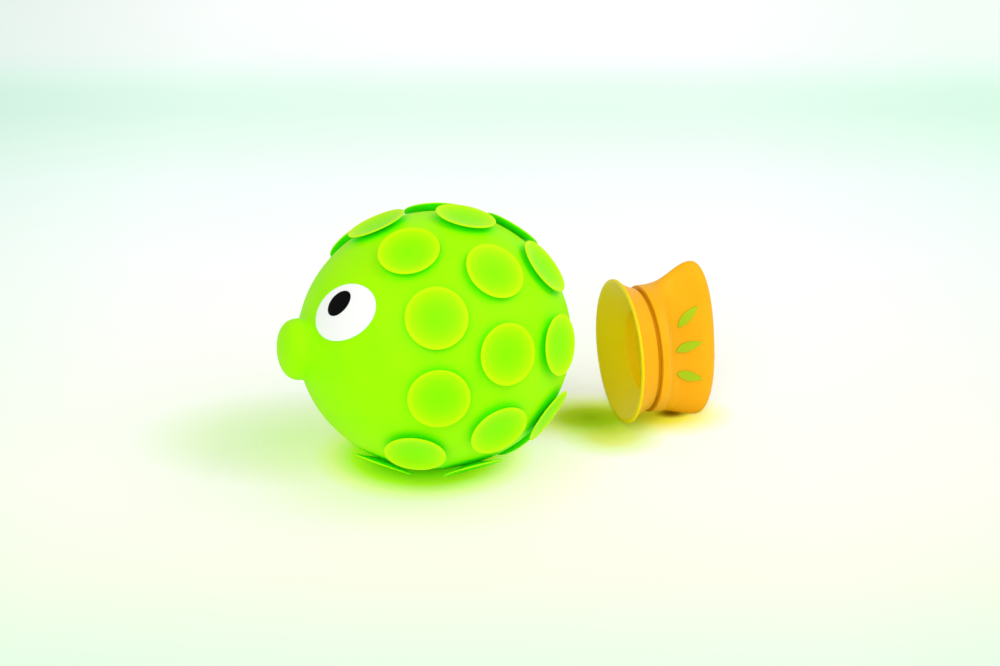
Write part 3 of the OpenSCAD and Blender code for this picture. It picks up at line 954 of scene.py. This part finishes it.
# Uncoated paper: matt, and very pale, so that the tints stay faint.
table_paper, table_surface = new_material("matt white paper")
paper_place = add_node(table_paper, "ShaderNodeTexCoord", {}, {})
paper_middle = Vector((ball_middle.x, 0, 0))
back = Vector((math.sin(camera_turn), math.cos(camera_turn), 0))
aside = Vector((math.cos(camera_turn), -math.sin(camera_turn), 0))


def across_band(direction, start, length):
    """How far a point of the paper lies along a direction, as a share of a length from a start. The
    start and the length are in millimetres."""
    band = add_node(
        table_paper, "ShaderNodeMapping",
        {
            "vector_type": "TEXTURE",
            "Location": paper_middle + direction * start * mm,
            "Rotation": (0, 0, math.atan2(direction.y, direction.x)),
            "Scale": (length * mm, 1, 1),
        },
        {"Vector": paper_place.outputs["Object"]},
    )
    share = add_node(
        table_paper, "ShaderNodeSeparateXYZ", {}, {"Vector": band.outputs["Vector"]}
    )
    return share.outputs["X"]


def out_of_spot(side_place, depth_place, side_size, depth_size):
    """How far a point of the paper lies from the middle of an oval spot, as a share of its size. The
    place, to the right and back from under the ball, and the size are in millimetres."""
    spot = add_node(
        table_paper, "ShaderNodeMapping",
        {
            "vector_type": "TEXTURE",
            "Location": paper_middle + aside * side_place * mm + back * depth_place * mm,
            "Rotation": (0, 0, -camera_turn),
            "Scale": (side_size * mm, depth_size * mm, 1),
        },
        {"Vector": paper_place.outputs["Object"]},
    )
    away = add_node(
        table_paper, "ShaderNodeVectorMath", {"operation": "LENGTH"}, {"Vector": spot.outputs["Vector"]}
    )
    return away.outputs["Value"]


paper_tints_and_painted_light = (
    # Mint from the front of the table to its far end, with painted shade in a soft band far behind the
    # toy
    (across_band(back, -300, 750), (
        (0, "#FFFFFF"), (0.2, "#DDF7DE"), (0.244, "#E4F9E2"), (0.304, "#F5FEE6"), (0.376, "#FDFEF0"),
        (0.6, "#FCFFFC"), (0.696, "#F5FFFB"), (0.752, "#EBFDF2"), (0.8, "#E3FAED"), (0.832, "#E4FBEE"),
        (0.856, "#ECFEF4"), (0.88, "#F5FEFB"), (0.904, "#FCFEFD"), (0.976, "#FFFFFF"),
    )),
    # Mint with painted shade that deepens towards the table's sides
    (across_band(aside, -230, 460), (
        (0, "#E6F2EC"), (0.25, "#FAFEFC"), (0.45, "#FFFFFF"), (0.75, "#FFFFFF"), (1, "#F0FBF4"),
    )),
    # Painted contact shadow under the ball, dark green in its middle, fading out through a painted lime
    # glow
    (out_of_spot(-5, 0, 62, 50), (
        (0, "#2F8000"), (0.12, "#48A000"), (0.24, "#7CEC04"), (0.36, "#C4FE28"), (0.48, "#FAFFB4"),
        (0.58, "#FFFFEA"), (1, "#FFFFFF"),
    )),
    # The ball's painted pale shadow to its left
    (out_of_spot(-50, 12, 50, 32), (
        (0, "#E2FBC8"), (0.5, "#EEFDDC"), (1, "#FFFFFF"),
    )),
    # Painted olive shadow where the ball's and the tail's shadows meet
    (out_of_spot(49, 25, 30, 18), (
        (0, "#90B40A"), (0.3, "#B0CC2C"), (0.52, "#DCEC88"), (0.76, "#F6FBDC"), (1, "#FFFFFF"),
    )),
    # Painted yellowish shade in front of the tail's cup
    (out_of_spot(56, 12, 18, 14), (
        (0, "#E2EC74"), (0.35, "#E8F08C"), (0.7, "#F0FED6"), (1, "#FFFFFF"),
    )),
    # Painted yellow glow under the tail
    (out_of_spot(72, 27, 26, 16), (
        (0, "#E8D818"), (0.35, "#F4EC50"), (0.6, "#FCF9B0"), (0.8, "#FFFFE2"), (1, "#FFFFFF"),
    )),
    # Painted brown contact shadow under the fin's lower edge
    (out_of_spot(76, 28, 6, 4), ((0, "#805800"), (0.4, "#A88424"), (1, "#FFFFFF"))),
)

# The tint and the painted shadows and glows lie over one another like washes of ink.
seen_tint_and_painted_light = None
for share, stops in paper_tints_and_painted_light:
    ramp = add_node(table_paper, "ShaderNodeValToRGB", {}, {"Fac": share})
    elements = ramp.color_ramp.elements
    elements[0].color = linear(stops[0][1])
    elements[1].position = stops[-1][0]
    elements[1].color = linear(stops[-1][1])
    for position, shade in stops[1:-1]:
        elements.new(position).color = linear(shade)
    if seen_tint_and_painted_light is None:
        seen_tint_and_painted_light = ramp.outputs["Color"]
        continue
    product = add_node(table_paper, "ShaderNodeVectorMath", {"operation": "MULTIPLY"}, {})
    table_paper.node_tree.links.new(seen_tint_and_painted_light, product.inputs[0])
    table_paper.node_tree.links.new(ramp.outputs["Color"], product.inputs[1])
    seen_tint_and_painted_light = product.outputs["Vector"]


def background_rays(scenery):
    """One for the rays that show a background, straight or by gloss or glass, and zero for the others."""
    rays = add_node(scenery, "ShaderNodeLightPath", {}, {})
    seen = rays.outputs["Is Camera Ray"]
    for ray in ("Is Glossy Ray", "Is Transmission Ray"):
        either = add_node(scenery, "ShaderNodeMath", {"operation": "MAXIMUM"}, {})
        scenery.node_tree.links.new(seen, either.inputs[0])
        scenery.node_tree.links.new(rays.outputs[ray], either.inputs[1])
        seen = either.outputs["Value"]
    return seen


# To those rays the paper is part lit, so that it keeps the toy's shadow, and part glowing.
lit_tint = add_node(
    table_paper, "ShaderNodeVectorMath",
    {"operation": "SCALE", "Scale": paper_lit_share},
    {"Vector": seen_tint_and_painted_light},
)
seen = background_rays(table_paper)
paper_bounce = add_node(table_paper, "ShaderNodeBsdfDiffuse", {}, {"Color": seen_tint_and_painted_light})
paper_seen = add_node(
    table_paper, "ShaderNodeBsdfDiffuse", {}, {"Color": lit_tint.outputs["Vector"]}
)
paper_light = add_node(
    table_paper, "ShaderNodeEmission", {"Strength": paper_glow}, {"Color": seen_tint_and_painted_light}
)
paper_bright = add_node(table_paper, "ShaderNodeAddShader", {}, {})
table_paper.node_tree.links.new(paper_seen.outputs["BSDF"], paper_bright.inputs[0])
table_paper.node_tree.links.new(paper_light.outputs["Emission"], paper_bright.inputs[1])
paper_mix = add_node(table_paper, "ShaderNodeMixShader", {}, {"Fac": seen})
table_paper.node_tree.links.new(paper_bounce.outputs["BSDF"], paper_mix.inputs[1])
table_paper.node_tree.links.new(paper_bright.outputs["Shader"], paper_mix.inputs[2])
table_paper.node_tree.links.new(
    paper_mix.outputs["Shader"], table_paper.node_tree.nodes["Material Output"].inputs["Surface"]
)
table_paper.node_tree.nodes.remove(table_surface)
table.data.materials.append(table_paper)


# The world: an even grey light on the toy, and white where the background shows.
world = bpy.data.worlds.new("studio")
scene.world = world
world.use_nodes = True
sky = world.node_tree.nodes["Background"]
sky.inputs["Color"].default_value = (1, 1, 1, 1)
sky.inputs["Strength"].default_value = 0.55
white_wall = add_node(world, "ShaderNodeBackground", {"Color": (1, 1, 1, 1), "Strength": 1}, {})
sky_mix = add_node(world, "ShaderNodeMixShader", {}, {"Fac": background_rays(world)})
world.node_tree.links.new(sky.outputs["Background"], sky_mix.inputs[1])
world.node_tree.links.new(white_wall.outputs["Background"], sky_mix.inputs[2])
world.node_tree.links.new(
    sky_mix.outputs["Shader"], world.node_tree.nodes["World Output"].inputs["Surface"]
)


def add_lamp(name, size, energy, direction, distance):
    """A square softbox that looks at the toy's middle from a direction."""
    away = Vector(direction).normalized()
    bpy.ops.object.select_all(action="DESELECT")
    bpy.ops.object.light_add(type="AREA", location=away * distance)
    lamp = bpy.context.object
    lamp.name = name
    lamp.data.size = size
    lamp.data.energy = energy
    lamp.rotation_euler = away.to_track_quat("Z", "Y").to_euler()


add_lamp("key softbox", size=1.4, energy=17, direction=(0.58, -0.45, 0.8), distance=2.2)
add_lamp("fill softbox", size=2, energy=26, direction=(-0.85, -0.95, 1), distance=2.5)

scene.view_settings.view_transform = "Standard"
